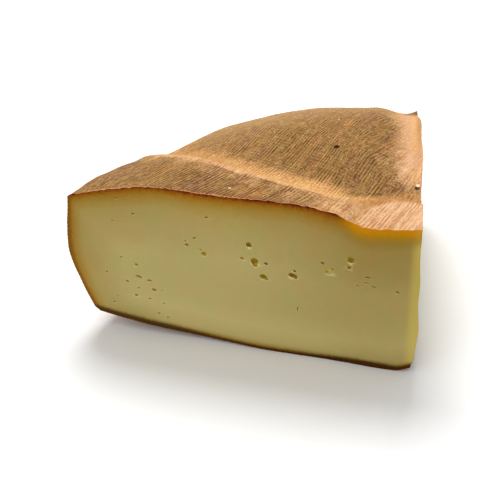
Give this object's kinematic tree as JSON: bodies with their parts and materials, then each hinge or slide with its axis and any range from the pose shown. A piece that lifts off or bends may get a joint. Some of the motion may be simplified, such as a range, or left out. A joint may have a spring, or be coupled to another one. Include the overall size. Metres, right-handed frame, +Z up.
{
  "type": "smoked cheese quarter",
  "caption": "Quarter of a smoked cheese wheel with two flat cuts, a rounded rim, a ribbed brown rind, rack grooves in the top and small gas holes in the cuts.",
  "frame": {"origin": "middle of the bounding box in plan, at the level of the flat base", "axes": "+Z up, along the wheel's axis; the front cut looks along -Y; +X runs towards the pointed edge, so the rim is at -X and +Y"},
  "size_m": [0.143, 0.1334, 0.0675],
  "materials": {
    "cheese": "moist semi-hard cheese paste, pale yellow, turning amber under a dry brown smoked rind with fine ribs and pale rack marks"
  },
  "bodies": {
    "root": {"cheese_quarter": "cheese"}
  },
  "joints": []
}
